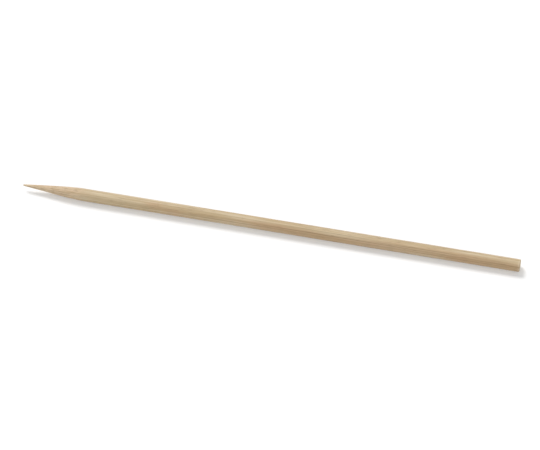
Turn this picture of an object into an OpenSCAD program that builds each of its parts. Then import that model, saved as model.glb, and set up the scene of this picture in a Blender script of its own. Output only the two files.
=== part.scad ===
// A round bamboo skewer: one turned stick, ground to a point at one end and cut square at the other.
// It lies along X with its point towards -X and its cut end towards +X.
// The origin is on its axis, at the middle of its length.

/* [Stick] */
// Length over all, from the tip of the point to the cut end
skewer_l = 120; // [60:5:300]
// Diameter of the round shank
shank_d = 3; // [2:0.25:6]

/* [Point] */
// Length of the ground cone, from the tip to the corner where its side would meet the shank
cone_l = 12; // [5:0.5:25]
// How far the rounded shoulder reaches from that corner, along the cone and along the shank
shoulder_t = 3; // [0.5:0.25:4]
// Radius of the blunted tip
tip_r = 0.2; // [0.1:0.05:0.6]

/* [Cut end] */
// Radius of the tumbled edge round the cut end
edge_r = 0.15; // [0.05:0.05:0.5]

/* [Hidden] */
$fn = 96;

bamboo = [0.78, 0.70, 0.57];
shank_r = shank_d / 2;

// Angle between the cone's side and the axis: the side starts from the corner on the shank's
// surface and just touches the round tip
cone_a = atan2(shank_r, cone_l - tip_r) - asin(tip_r / norm([shank_r, cone_l - tip_r]));
// Radius of the shoulder's arc, which touches the cone and the shank shoulder_t from their corner
shoulder_r = shoulder_t / tan(cone_a / 2);

// Steps along each arc of the outline
tip_steps = 10;
shoulder_steps = 12;
edge_steps = 6;

// Points along an arc about centre, from angle a0 to angle a1
function arc(centre, r, a0, a1, steps) =
    [for (i = [0:steps]) let (a = a0 + (a1 - a0) * i / steps) centre + r * [cos(a), sin(a)]];

// Half of the skewer's lengthwise section, as distance from the axis and distance from the tip
function half_section() = concat(
    arc([0, tip_r], tip_r, -90, -cone_a, tip_steps),
    arc([shank_r - shoulder_r, cone_l + shoulder_t], shoulder_r, -cone_a, 0, shoulder_steps),
    arc([shank_r - edge_r, skewer_l - edge_r], edge_r, 0, 90, edge_steps),
    [[0, skewer_l]]
);

module skewer() {
    color(bamboo)
        translate([-skewer_l / 2, 0, 0])
            rotate([0, 90, 0])
                rotate_extrude()
                    polygon(half_section());
}

skewer();
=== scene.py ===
import math
import random

import bmesh
import bpy
import numpy as np
from mathutils import Matrix, Vector, noise


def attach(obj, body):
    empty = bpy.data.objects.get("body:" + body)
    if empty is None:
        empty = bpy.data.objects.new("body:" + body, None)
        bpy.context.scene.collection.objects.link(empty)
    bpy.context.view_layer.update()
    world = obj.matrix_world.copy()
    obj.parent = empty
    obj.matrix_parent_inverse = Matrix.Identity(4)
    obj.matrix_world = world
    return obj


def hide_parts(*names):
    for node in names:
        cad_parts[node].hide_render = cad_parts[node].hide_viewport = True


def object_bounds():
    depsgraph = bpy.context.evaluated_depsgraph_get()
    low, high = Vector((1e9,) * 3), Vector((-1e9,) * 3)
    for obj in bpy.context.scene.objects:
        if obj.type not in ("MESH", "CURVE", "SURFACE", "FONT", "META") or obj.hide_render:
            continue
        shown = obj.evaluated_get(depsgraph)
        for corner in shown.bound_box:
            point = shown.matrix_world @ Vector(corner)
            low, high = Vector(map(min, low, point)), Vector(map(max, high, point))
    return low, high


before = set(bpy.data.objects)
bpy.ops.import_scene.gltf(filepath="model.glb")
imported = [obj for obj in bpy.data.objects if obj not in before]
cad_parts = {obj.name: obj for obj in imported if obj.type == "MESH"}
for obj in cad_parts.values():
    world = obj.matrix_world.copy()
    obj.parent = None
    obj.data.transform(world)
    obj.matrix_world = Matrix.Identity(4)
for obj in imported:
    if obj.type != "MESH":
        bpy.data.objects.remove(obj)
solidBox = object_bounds()
mm = 0.001

# Camera, at the photograph's viewing angle
photoCamera = {
    "azimuth": 11.7,        # degrees round from square-on
    "elevation": 51.7,      # degrees above the table
    "distance": 1.11,       # metres, as measured from the photograph
    "frameShare": 0.92,     # share of the picture's width that the skewer takes
    "sensorWidth": 36.0,
}


def addCamera(spec, box):
    low, high = box
    azimuth, elevation = math.radians(spec["azimuth"]), math.radians(spec["elevation"])
    level = Vector((math.sin(azimuth), -math.cos(azimuth), 0))
    back = level * math.cos(elevation) + Vector((0, 0, math.sin(elevation)))
    seenLength = (high.x - low.x) * math.cos(azimuth)
    data = bpy.data.cameras.new("photoCamera")
    data.sensor_width = spec["sensorWidth"]
    data.lens = spec["frameShare"] * spec["sensorWidth"] * spec["distance"] / seenLength
    camera = bpy.data.objects.new("photoCamera", data)
    bpy.context.scene.collection.objects.link(camera)
    camera.location = (low + high) / 2 + back * spec["distance"]
    camera.rotation_euler = back.to_track_quat("Z", "Y").to_euler()
    bpy.context.scene.camera = camera
    print("camera: lens", round(data.lens), "mm")


addCamera(photoCamera, solidBox)

# The stick's outline, and how finely its mesh is cut
stick = {
    "coneLength": 12 * mm,      # from the tip to the corner where cone and shank would meet
    "shoulder": 3 * mm,         # reach of the rounded shoulder, each way from that corner
    "tipRadius": 0.2 * mm,
    "edgeRadius": 0.15 * mm,    # tumbled edge round the cut end
    "sides": 224,
    "tipSteps": 8,
    "shoulderSteps": 24,
    "edgeSteps": 6,
    "coneCuts": 90,
    "shankCuts": 220,
    "endCuts": 34,
    "weld": 0.0001 * mm,        # points this close become one, which closes both poles
}


def coneAngle(spec, radius):
    # the cone's side leaves the corner on the shank and just touches the round tip
    along = spec["coneLength"] - spec["tipRadius"]
    return math.atan2(radius, along) - math.asin(spec["tipRadius"] / math.hypot(radius, along))


def drawHalfSection(bm, spec, box):
    low, high = box
    radius = (high.z - low.z) / 2
    noseHeight = radius - spec["coneLength"] * math.tan(coneAngle(spec, radius))
    shankStart = low.x + spec["coneLength"]
    outline = ((low.x, 0), (low.x, noseHeight), (shankStart, radius), (high.x, radius), (high.x, 0))
    corners = [bm.verts.new((x, 0, z)) for x, z in outline]
    for first, second in zip(corners, corners[1:]):
        bm.edges.new((first, second))
    rounds = (
        (corners[1], noseHeight, spec["tipSteps"]),
        (corners[2], spec["shoulder"], spec["shoulderSteps"]),
        (corners[3], spec["edgeRadius"], spec["edgeSteps"]),
    )
    for corner, reach, steps in rounds:
        bmesh.ops.bevel(bm, geom=[corner], offset=reach, offset_type="OFFSET", segments=steps,
                        profile=0.5, affect="VERTICES", material=-1)
    longest = sorted(bm.edges, key=lambda edge: -edge.calc_length())[:3]
    inOrder = sorted(longest, key=lambda edge: sum(vert.co.x for vert in edge.verts))
    for edge, cuts in zip(inOrder, (spec["coneCuts"], spec["shankCuts"], spec["endCuts"])):
        bmesh.ops.subdivide_edges(bm, edges=[edge], cuts=cuts)


# Where the surface lies in a texture baked from it: the side unrolled in strips, one above the other,
# and the cut end over them. Sizes are shares of the texture
layout = {
    "mapName": "OFBake",        # the name of the map that holds this layout
    "strips": 2,
    "stripHeight": 0.39,
    "gap": 0.012,
    "endSize": 0.17,
    "endFacing": 0.9,           # a face that looks along the stick more than this is the cut end's
}


def unrollStick(bm, spec, box):
    low, high = box
    uvMap = bm.loops.layers.uv.new(spec["mapName"])
    gap, stripHeight, endSize = spec["gap"], spec["stripHeight"], spec["endSize"]
    stripLength = (high.x - low.x) / spec["strips"]
    endCentre = gap + endSize / 2
    endHeight = spec["strips"] * (stripHeight + gap) + endCentre
    for face in bm.faces:
        middle = face.calc_center_median()
        strip = int((middle.x - low.x) / stripLength)
        for loop in face.loops:
            place = loop.vert.co
            if face.normal.x > spec["endFacing"]:
                across = place.yz * endSize / (high.z - low.z)
                loop[uvMap].uv = (endCentre + across.x, endHeight + across.y)
            else:
                along = (place.x - low.x) / stripLength - strip
                turn = math.atan2(middle.z, middle.y) - middle.yz.angle_signed(place.yz, 0)
                around = 0.5 - turn / math.tau      # unrolled as seen from outside
                loop[uvMap].uv = (gap + (1 - 2 * gap) * along,
                                  gap + strip * (stripHeight + gap) + stripHeight * around)


def sortFaces(bm):
    # a spin's points keep their order from run to run, but its faces don't
    bm.verts.index_update()
    inOrder = sorted(bm.faces, key=lambda face: sorted(vert.index for vert in face.verts))
    ranks = {face: rank for rank, face in enumerate(inOrder)}
    bm.faces.sort(key=ranks.get)


def turnStick(spec, textureSpec, box):
    bm = bmesh.new()
    drawHalfSection(bm, spec, box)
    bmesh.ops.spin(bm, geom=bm.verts[:] + bm.edges[:], cent=(0, 0, 0), axis=(1, 0, 0),
                   angle=math.tau, steps=spec["sides"], use_merge=True)
    bmesh.ops.remove_doubles(bm, verts=bm.verts, dist=spec["weld"])
    sortFaces(bm)
    bmesh.ops.recalc_face_normals(bm, faces=bm.faces)
    unrollStick(bm, textureSpec, box)
    for face in bm.faces:
        face.smooth = True
    mesh = bpy.data.meshes.new("skewerStick")
    bm.to_mesh(mesh)
    bm.free()
    piece = bpy.data.objects.new("skewerStick", mesh)
    bpy.context.scene.collection.objects.link(piece)
    print("stick: faces", len(mesh.polygons))
    return piece


# Fibre bundles of the culm: small and close together near its skin, larger towards its hollow
culm = {
    "skinSide": 62.0,           # degrees round the axis, where the skin lay
    "skinPitch": 0.36 * mm,
    "hollowPitch": 0.66 * mm,
    "rowRatio": 0.87,           # rows lie this share of the pitch apart
    "scatter": 0.16,            # shares of the pitch
    "size": (0.34, 0.46),
    "tone": (0.45, 1.0),
    "bundleEdge": (1.1, 0.7),   # shares of a bundle's size, from its outside to where it is full
    "vesselEdge": (0.42, 0.2),  # the same for the vessels in its middle
    "drift": 0.10 * mm,         # how far a bundle wanders along the stick
    "wave": (70 * mm, 190 * mm),
    "wobble": 0.11 * mm,        # unevenness of the outlines, across Y and Z
    "wobbleY": (70 * mm, 0.22 * mm, 71.0),
    "wobbleZ": (70 * mm, 0.22 * mm, 83.0),
    "seed": 11,
}


def growBundles(spec, radius):
    rng = random.Random(spec["seed"])
    turn = Matrix.Rotation(math.radians(spec["skinSide"]), 2)
    reach = radius + spec["hollowPitch"]
    bundles = []
    depth, row = -reach, 0
    while depth < reach:
        skinward = (depth + reach) / (2 * reach)
        pitch = spec["hollowPitch"] + (spec["skinPitch"] - spec["hollowPitch"]) * skinward
        across = -reach + pitch / 2 * (row % 2)
        while across < reach:
            offset = Vector((rng.uniform(-1, 1), rng.uniform(-1, 1))) * spec["scatter"] * pitch
            bundles.append({
                "centre": turn @ (Vector((across, depth)) + offset),
                "size": pitch * rng.uniform(*spec["size"]),
                "tone": rng.uniform(*spec["tone"]),
                "wave": rng.uniform(*spec["wave"]),
                "phase": rng.uniform(0, math.tau),
            })
            across += pitch
        depth += pitch * spec["rowRatio"]
        row += 1
    print("culm: bundles", len(bundles))
    return bundles


# Relief that the fibres, the grinding of the point and the saw leave, and the reddish-brown mark on
# the near flank, partly a stain and partly painted shade
relief = {
    "noises": {                     # how far each kind of unevenness runs, how wide it is, its shift
        "fibre": (14 * mm, 0.12 * mm, 0.0),
        "groove": (14 * mm, 0.3 * mm, 57.0),
        "sway": (16 * mm, 1.8 * mm, 7.0),
        "chip": (16 * mm, 0.35 * mm, 31.0),
        "grind": (0.45 * mm, 1.8 * mm, 19.0),
        "facet": (5 * mm, 1.1 * mm, 43.0),
    },
    "bundleHeight": 0.014 * mm,
    "vesselDepth": 0.03 * mm,
    "fibreDepth": 0.012 * mm,
    "grooveDepth": 0.03 * mm,       # narrow grooves where fibres were torn out
    "grooveShare": 0.13,
    "grooveGroundOff": 0.7,         # share of their depth that the grinding takes away
    "swayDepth": 0.014 * mm,        # slow unevenness of the turning
    "swaySink": 0.5,                # keeps that unevenness under the solid's surface
    "grindDepth": 0.012 * mm,       # marks round the point
    "facetDepth": 0.07 * mm,        # long flats that the grinding leaves on the point
    "groundFade": 2.2 * mm,
    "groundRagged": 0.9 * mm,
    "chipDepth": 0.05 * mm,         # chips at the rim of the cut end
    "chipStrength": (0.15, 0.5),
    "chipReach": 1.2 * mm,
    "rimReach": 0.3 * mm,
    "endFacing": (0.75, 0.95),      # how far the surface looks along the stick at the cut end
    "pitDepth": 0.09 * mm,          # vessels, open at the cut end
    "sawDepth": 0.012 * mm,
    "fullRelief": 1.1 * mm,         # radius from which the relief has its full depth
    # the near, lower flank gets a reddish-brown mark: partly a stain, partly painted shade and warm
    # reflected light
    "stainAndShadeSide": 159.0,             # degrees round the axis: the near flank
    "stainAndShadeHalf": (62.0, 18.6),      # degrees from that side, from its edge to where it is full
    "stainAndShadeWaver": 60.0,             # degrees
    "stainAndShadeAlong": (-30 * mm, 15 * mm),
    "stainAndShadeDrift": 20 * mm,
}


def readVectors(mesh, name):
    values = np.empty(len(mesh.vertices) * 3)
    mesh.vertices.foreach_get(name, values)
    return values.reshape(-1, 3)


def storeMask(mesh, name, values):
    mask = mesh.attributes.new(name, "FLOAT", "POINT")
    mask.data.foreach_set("value", values.astype(np.float32))


def ease(value, start, stop):
    share = np.clip((value - start) / (stop - start), 0, 1)
    return share * share * (3 - 2 * share)


def roughen(places, run, width, shift):
    # noise from -1 to 1 at each place, drawn out along the stick
    steps = places / (run, width, width) + shift
    return np.array([noise.noise(step) for step in steps])


def bundleMasks(places, bundles, spec):
    x, y, z = places.T
    unevenY = y + spec["wobble"] * roughen(places, *spec["wobbleY"])
    unevenZ = z + spec["wobble"] * roughen(places, *spec["wobbleZ"])
    bundle, vessel = np.zeros(len(x)), np.zeros(len(x))
    for strand in bundles:
        swing = math.tau * x / strand["wave"] + strand["phase"]
        awayY = unevenY - strand["centre"].x - spec["drift"] * np.sin(swing)
        awayZ = unevenZ - strand["centre"].y - spec["drift"] * np.cos(swing)
        away = np.hypot(awayY, awayZ) / strand["size"]
        bundle = np.maximum(bundle, strand["tone"] * ease(away, *spec["bundleEdge"]))
        vessel = np.maximum(vessel, strand["tone"] * ease(away, *spec["vesselEdge"]))
    return bundle, vessel


# a reddish-brown mark on the near, lower flank: partly a real stain, partly painted shade and warm
# reflected light
def stainAndShadeMask(places, sway, spec):
    x, y, z = places.T
    turn = np.arctan2(z, y) - math.radians(spec["stainAndShadeSide"])
    offSide = np.abs(np.degrees(np.arctan2(np.sin(turn), np.cos(turn))))
    wide = ease(offSide + spec["stainAndShadeWaver"] * sway, *spec["stainAndShadeHalf"])
    return wide * ease(x + spec["stainAndShadeDrift"] * sway, *spec["stainAndShadeAlong"])


def surfaceMasks(places, outward, rough, spec, strands, outline):
    # what the surface is at each place, from 0 to 1
    x, y, z = places.T
    bundle, vessel = bundleMasks(places, growBundles(strands, z.max()), strands)
    edge = x.max() - outline["edgeRadius"]
    groundEnd = x.min() + outline["coneLength"] + outline["shoulder"]
    groundEnd = groundEnd + spec["groundRagged"] * rough["chip"]
    return {
        "bundle": bundle,
        "vessel": vessel,
        "groove": ease(np.abs(rough["groove"]), spec["grooveShare"], 0),
        "ground": ease(x, groundEnd, groundEnd - spec["groundFade"]),
        "cutEnd": ease(outward[:, 0], *spec["endFacing"]),
        "rim": ease(x, edge - spec["rimReach"], edge),
        "stainAndShade": stainAndShadeMask(places, rough["sway"], spec),
    }


def reliefHeight(places, rough, masks, spec, outline):
    x, y, z = places.T
    edge = x.max() - outline["edgeRadius"]
    chips = ease(rough["chip"], *spec["chipStrength"]) * ease(x, edge - spec["chipReach"], edge)
    grinding = spec["grindDepth"] * np.abs(rough["grind"])
    grinding += spec["facetDepth"] * np.abs(rough["facet"])
    grooves = masks["groove"] * (1 - spec["grooveGroundOff"] * masks["ground"])
    height = spec["bundleHeight"] * (masks["bundle"] - 1) - spec["vesselDepth"] * masks["vessel"]
    height -= spec["fibreDepth"] * np.abs(rough["fibre"])
    height -= spec["swayDepth"] * (spec["swaySink"] + rough["sway"])
    height -= spec["grooveDepth"] * grooves + masks["ground"] * grinding + spec["chipDepth"] * chips
    sawn = spec["pitDepth"] * masks["vessel"] + spec["sawDepth"] * (1 + rough["fibre"])
    thickness = ease(np.hypot(y, z), 0, spec["fullRelief"])
    return height * thickness * (1 - masks["cutEnd"]) - sawn * masks["cutEnd"]


def carveStick(piece, spec, strands, outline):
    mesh = piece.data
    places, outward = readVectors(mesh, "co"), readVectors(mesh, "normal")
    rough = {name: roughen(places, *given) for name, given in spec["noises"].items()}
    masks = surfaceMasks(places, outward, rough, spec, strands, outline)
    height = reliefHeight(places, rough, masks, spec, outline)
    places += outward * height[:, None]
    mesh.vertices.foreach_set("co", places.ravel())
    for name, values in masks.items():
        storeMask(mesh, name, values)
    mesh.update()
    print("relief: from", round(height.min() / mm, 3), "to", round(height.max() / mm, 3), "mm")
    return list(masks)


skewer = turnStick(stick, layout, solidBox)
maskNames = carveStick(skewer, relief, culm, stick)


def addNode(tree, kind, inputs=None, **settings):
    node = tree.nodes.new(kind)
    for name, value in settings.items():
        setattr(node, name, value)
    for socket, value in (inputs or {}).items():
        if isinstance(value, bpy.types.NodeSocket):
            tree.links.new(value, node.inputs[socket])
        else:
            node.inputs[socket].default_value = value
    return node


def addMath(tree, operation, *values):
    return addNode(tree, "ShaderNodeMath", dict(enumerate(values)), operation=operation).outputs[0]


def addVectorMath(tree, operation, **inputs):
    sockets = {"first": 0, "second": 1, "scale": "Scale"}
    given = {sockets[name]: value for name, value in inputs.items()}
    return addNode(tree, "ShaderNodeVectorMath", given, operation=operation).outputs[0]


def fibreGroup():
    # noise drawn out along the stick: Run is its length over its width, and under 1 it gives rings
    tree = bpy.data.node_groups.new("bambooFibre", "ShaderNodeTree")
    tree.interface.new_socket("Vector", in_out="INPUT", socket_type="NodeSocketVector")
    for name in ("Width", "Run", "Detail", "Shift"):
        tree.interface.new_socket(name, in_out="INPUT", socket_type="NodeSocketFloat")
    tree.interface.new_socket("Value", in_out="OUTPUT", socket_type="NodeSocketFloat")
    given = addNode(tree, "NodeGroupInput").outputs
    shrink = addMath(tree, "DIVIDE", 1.0, given["Run"])
    perWidth = addMath(tree, "DIVIDE", 1.0, given["Width"])
    drawnOut = addNode(tree, "ShaderNodeCombineXYZ", {"X": shrink, "Y": 1.0, "Z": 1.0}).outputs[0]
    place = addVectorMath(tree, "MULTIPLY", first=given["Vector"], second=drawnOut)
    place = addVectorMath(tree, "SCALE", first=place, scale=perWidth)
    place = addVectorMath(tree, "ADD", first=place, second=given["Shift"])
    streaks = {"Vector": place, "Scale": 1.0, "Detail": given["Detail"]}
    value = addNode(tree, "ShaderNodeTexNoise", streaks).outputs[0]
    addNode(tree, "NodeGroupOutput", {"Value": value})
    return tree


# Colours and finish of the bamboo. Shares come in twos: on the side, and at the cut end
bamboo = {
    "straw": (222, 207, 178),
    "patterns": {       # width, run, detail and shift, then the values where it starts and is full
        "tone": (1.6 * mm, 14.0, 2.0, 3.0, 0.35, 0.65),
        "blush": (3.0 * mm, 4.0, 1.0, 52.0, 0.54, 0.74),
        "fine": (0.06 * mm, 170.0, 3.0, 9.0, 0.3, 0.7),
        "broad": (0.22 * mm, 120.0, 2.0, 21.0, 0.3, 0.7),
        "fleck": (0.11 * mm, 26.0, 2.0, 37.0, 0.62, 0.72),
        "ring": (2.0 * mm, 0.05, 3.0, 64.0, 0.3, 0.7),
    },
    "coats": (          # colours laid over the straw in turn, where, and their shares
        ((202, 182, 147), "tone", 1.0, 1.0),
        ((196, 150, 120), "blush", 0.35, 0.35),
        # reddish-brown on the near, lower flank: partly a stain, partly painted shade and warm
        # reflected light
        ((188, 146, 114), "stainAndShade", 0.45, 0.0),
        ((232, 218, 192), "rim", 0.45, 0.0),
        ((228, 203, 175), "ground", 0.55, 0.55),
        ((214, 193, 156), "cutEnd", 0.7, 0.7),
        ((176, 150, 110), "fine", 0.32, 0.32),
        ((176, 150, 110), "broad", 0.25, 0.25),
        ((172, 143, 101), "bundle", 0.5, 0.9),
        ((118, 88, 58), "groove", 0.12, 0.0),
        ((118, 88, 58), "fleck", 0.55, 0.0),
        ((92, 68, 45), "vessel", 0.3, 0.8),
    ),
    "roughness": 0.56,
    "roughnessSteps": (("fine", 0.12, 0.12), ("bundle", -0.12, -0.12), ("ground", 0.08, 0.08)),
    "hollows": (("fine", 0.5, 0.5), ("broad", 0.5, 0.5), ("fleck", 0.6, 0.0), ("ring", 0.35, 0.35)),
    "hollowDepth": 0.03 * mm,
    "specular": 0.4,
}


def linear(colour):
    # screen values from 0 to 255 made linear, with full alpha
    shares = [value / 255 for value in colour]
    curved = [share / 12.92 if share <= 0.04045 else ((share + 0.055) / 1.055) ** 2.4
              for share in shares]
    return curved + [1.0]


def bambooMaterial(spec, fibres, maskNames):
    material = bpy.data.materials.new("splitBamboo")
    material.use_nodes = True
    tree = material.node_tree
    objectPlace = addNode(tree, "ShaderNodeTexCoord").outputs["Object"]

    def mask(name):
        return addNode(tree, "ShaderNodeAttribute", attribute_name=name).outputs["Fac"]

    def pattern(width, run, detail, shift, start, full):
        given = {"Vector": objectPlace, "Width": width, "Run": run, "Detail": detail, "Shift": shift}
        streaks = addNode(tree, "ShaderNodeGroup", given, node_tree=fibres).outputs["Value"]
        span = {"Value": streaks, "From Min": start, "From Max": full}
        eased = addNode(tree, "ShaderNodeMapRange", span, interpolation_type="SMOOTHSTEP")
        return eased.outputs["Result"]

    where = {name: mask(name) for name in maskNames}
    where |= {name: pattern(*given) for name, given in spec["patterns"].items()}
    where["ring"] = addMath(tree, "MULTIPLY", where["ring"], where["ground"])

    def weigh(name, onSide, atEnd):
        share = addMath(tree, "MULTIPLY_ADD", where["cutEnd"], atEnd - onSide, onSide)
        return addMath(tree, "MULTIPLY", where[name], share)

    def total(start, steps):
        for step in steps:
            start = addMath(tree, "ADD", start, weigh(*step))
        return start

    colour = linear(spec["straw"])
    for coat, *step in spec["coats"]:
        mixed = {0: weigh(*step), 6: colour, 7: linear(coat)}      # factor, under and over
        colour = addNode(tree, "ShaderNodeMix", mixed, data_type="RGBA").outputs[2]
    hollows = {"Height": total(0.0, spec["hollows"]), "Distance": spec["hollowDepth"]}
    bump = addNode(tree, "ShaderNodeBump", hollows, invert=True)
    shader = tree.nodes["Principled BSDF"]
    tree.links.new(colour, shader.inputs["Base Color"])
    tree.links.new(total(spec["roughness"], spec["roughnessSteps"]), shader.inputs["Roughness"])
    tree.links.new(bump.outputs["Normal"], shader.inputs["Normal"])
    shader.inputs["Specular IOR Level"].default_value = spec["specular"]
    return material


skewer.data.materials.append(bambooMaterial(bamboo, fibreGroup(), maskNames))
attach(skewer, "root")
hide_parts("skewer")
print("finish: bamboo")

# Plain pale floor, which the skewer lies on, and soft studio light
studio = {
    "floorSize": 4.0,
    "floorColour": 0.80,        # as light falls on the floor
    "floorRoughness": 0.9,
    "floorLift": 0.22,          # added for the camera, so that the open floor is white
    "worldLight": 0.42,
    "keyFrom": (-0.40, 0.42, 0.72),     # upper left and behind, as in the photograph
    "keyStrength": 2.2,
    "keySpread": 26.0,                  # degrees across
    "fillFrom": (0.55, -0.65, 0.45),
    "fillStrength": 0.9,
    "fillSpread": 60.0,
}


def seenDirectly(tree):
    # 1 where the camera sees the surface itself, or by a reflection or through glass
    path = addNode(tree, "ShaderNodeLightPath").outputs
    seen = addMath(tree, "MAXIMUM", path["Is Camera Ray"], path["Is Glossy Ray"])
    return addMath(tree, "MAXIMUM", seen, path["Is Transmission Ray"])


def addFloor(spec, level):
    bm = bmesh.new()
    bmesh.ops.create_grid(bm, x_segments=1, y_segments=1, size=spec["floorSize"] / 2)
    bmesh.ops.translate(bm, verts=bm.verts, vec=(0, 0, level))
    mesh = bpy.data.meshes.new("floor")
    bm.to_mesh(mesh)
    bm.free()
    floor = bpy.data.objects.new("floor", mesh)
    bpy.context.scene.collection.objects.link(floor)
    material = bpy.data.materials.new("paleFloor")
    material.use_nodes = True
    tree = material.node_tree
    shader = tree.nodes["Principled BSDF"]
    shader.inputs["Base Color"].default_value = [spec["floorColour"]] * 3 + [1.0]
    shader.inputs["Roughness"].default_value = spec["floorRoughness"]
    shader.inputs["Specular IOR Level"].default_value = 0.0
    shader.inputs["Emission Color"].default_value = [1.0] * 4
    lift = addMath(tree, "MULTIPLY", seenDirectly(tree), spec["floorLift"])
    tree.links.new(lift, shader.inputs["Emission Strength"])
    mesh.materials.append(material)


def addLamp(name, source, strength, spread):
    data = bpy.data.lights.new(name, "SUN")     # even over the whole floor, and soft by its spread
    data.energy = strength
    data.angle = math.radians(spread)
    lamp = bpy.data.objects.new(name, data)
    bpy.context.scene.collection.objects.link(lamp)
    lamp.location = source
    lamp.rotation_euler = Vector(source).to_track_quat("Z", "Y").to_euler()


def addWorld(spec):
    world = bpy.data.worlds.new("studioWorld")
    world.use_nodes = True
    bpy.context.scene.world = world
    tree = world.node_tree
    lift = addMath(tree, "MULTIPLY", seenDirectly(tree), 1.0 - spec["worldLight"])
    background = tree.nodes["Background"]
    background.inputs["Color"].default_value = [1.0] * 4
    tree.links.new(addMath(tree, "ADD", lift, spec["worldLight"]), background.inputs["Strength"])


addFloor(studio, solidBox[0].z)
addLamp("keyLamp", studio["keyFrom"], studio["keyStrength"], studio["keySpread"])
addLamp("fillLamp", studio["fillFrom"], studio["fillStrength"], studio["fillSpread"])
addWorld(studio)
bpy.context.scene.view_settings.view_transform = "Standard"
print("studio: floor, lamps and world")
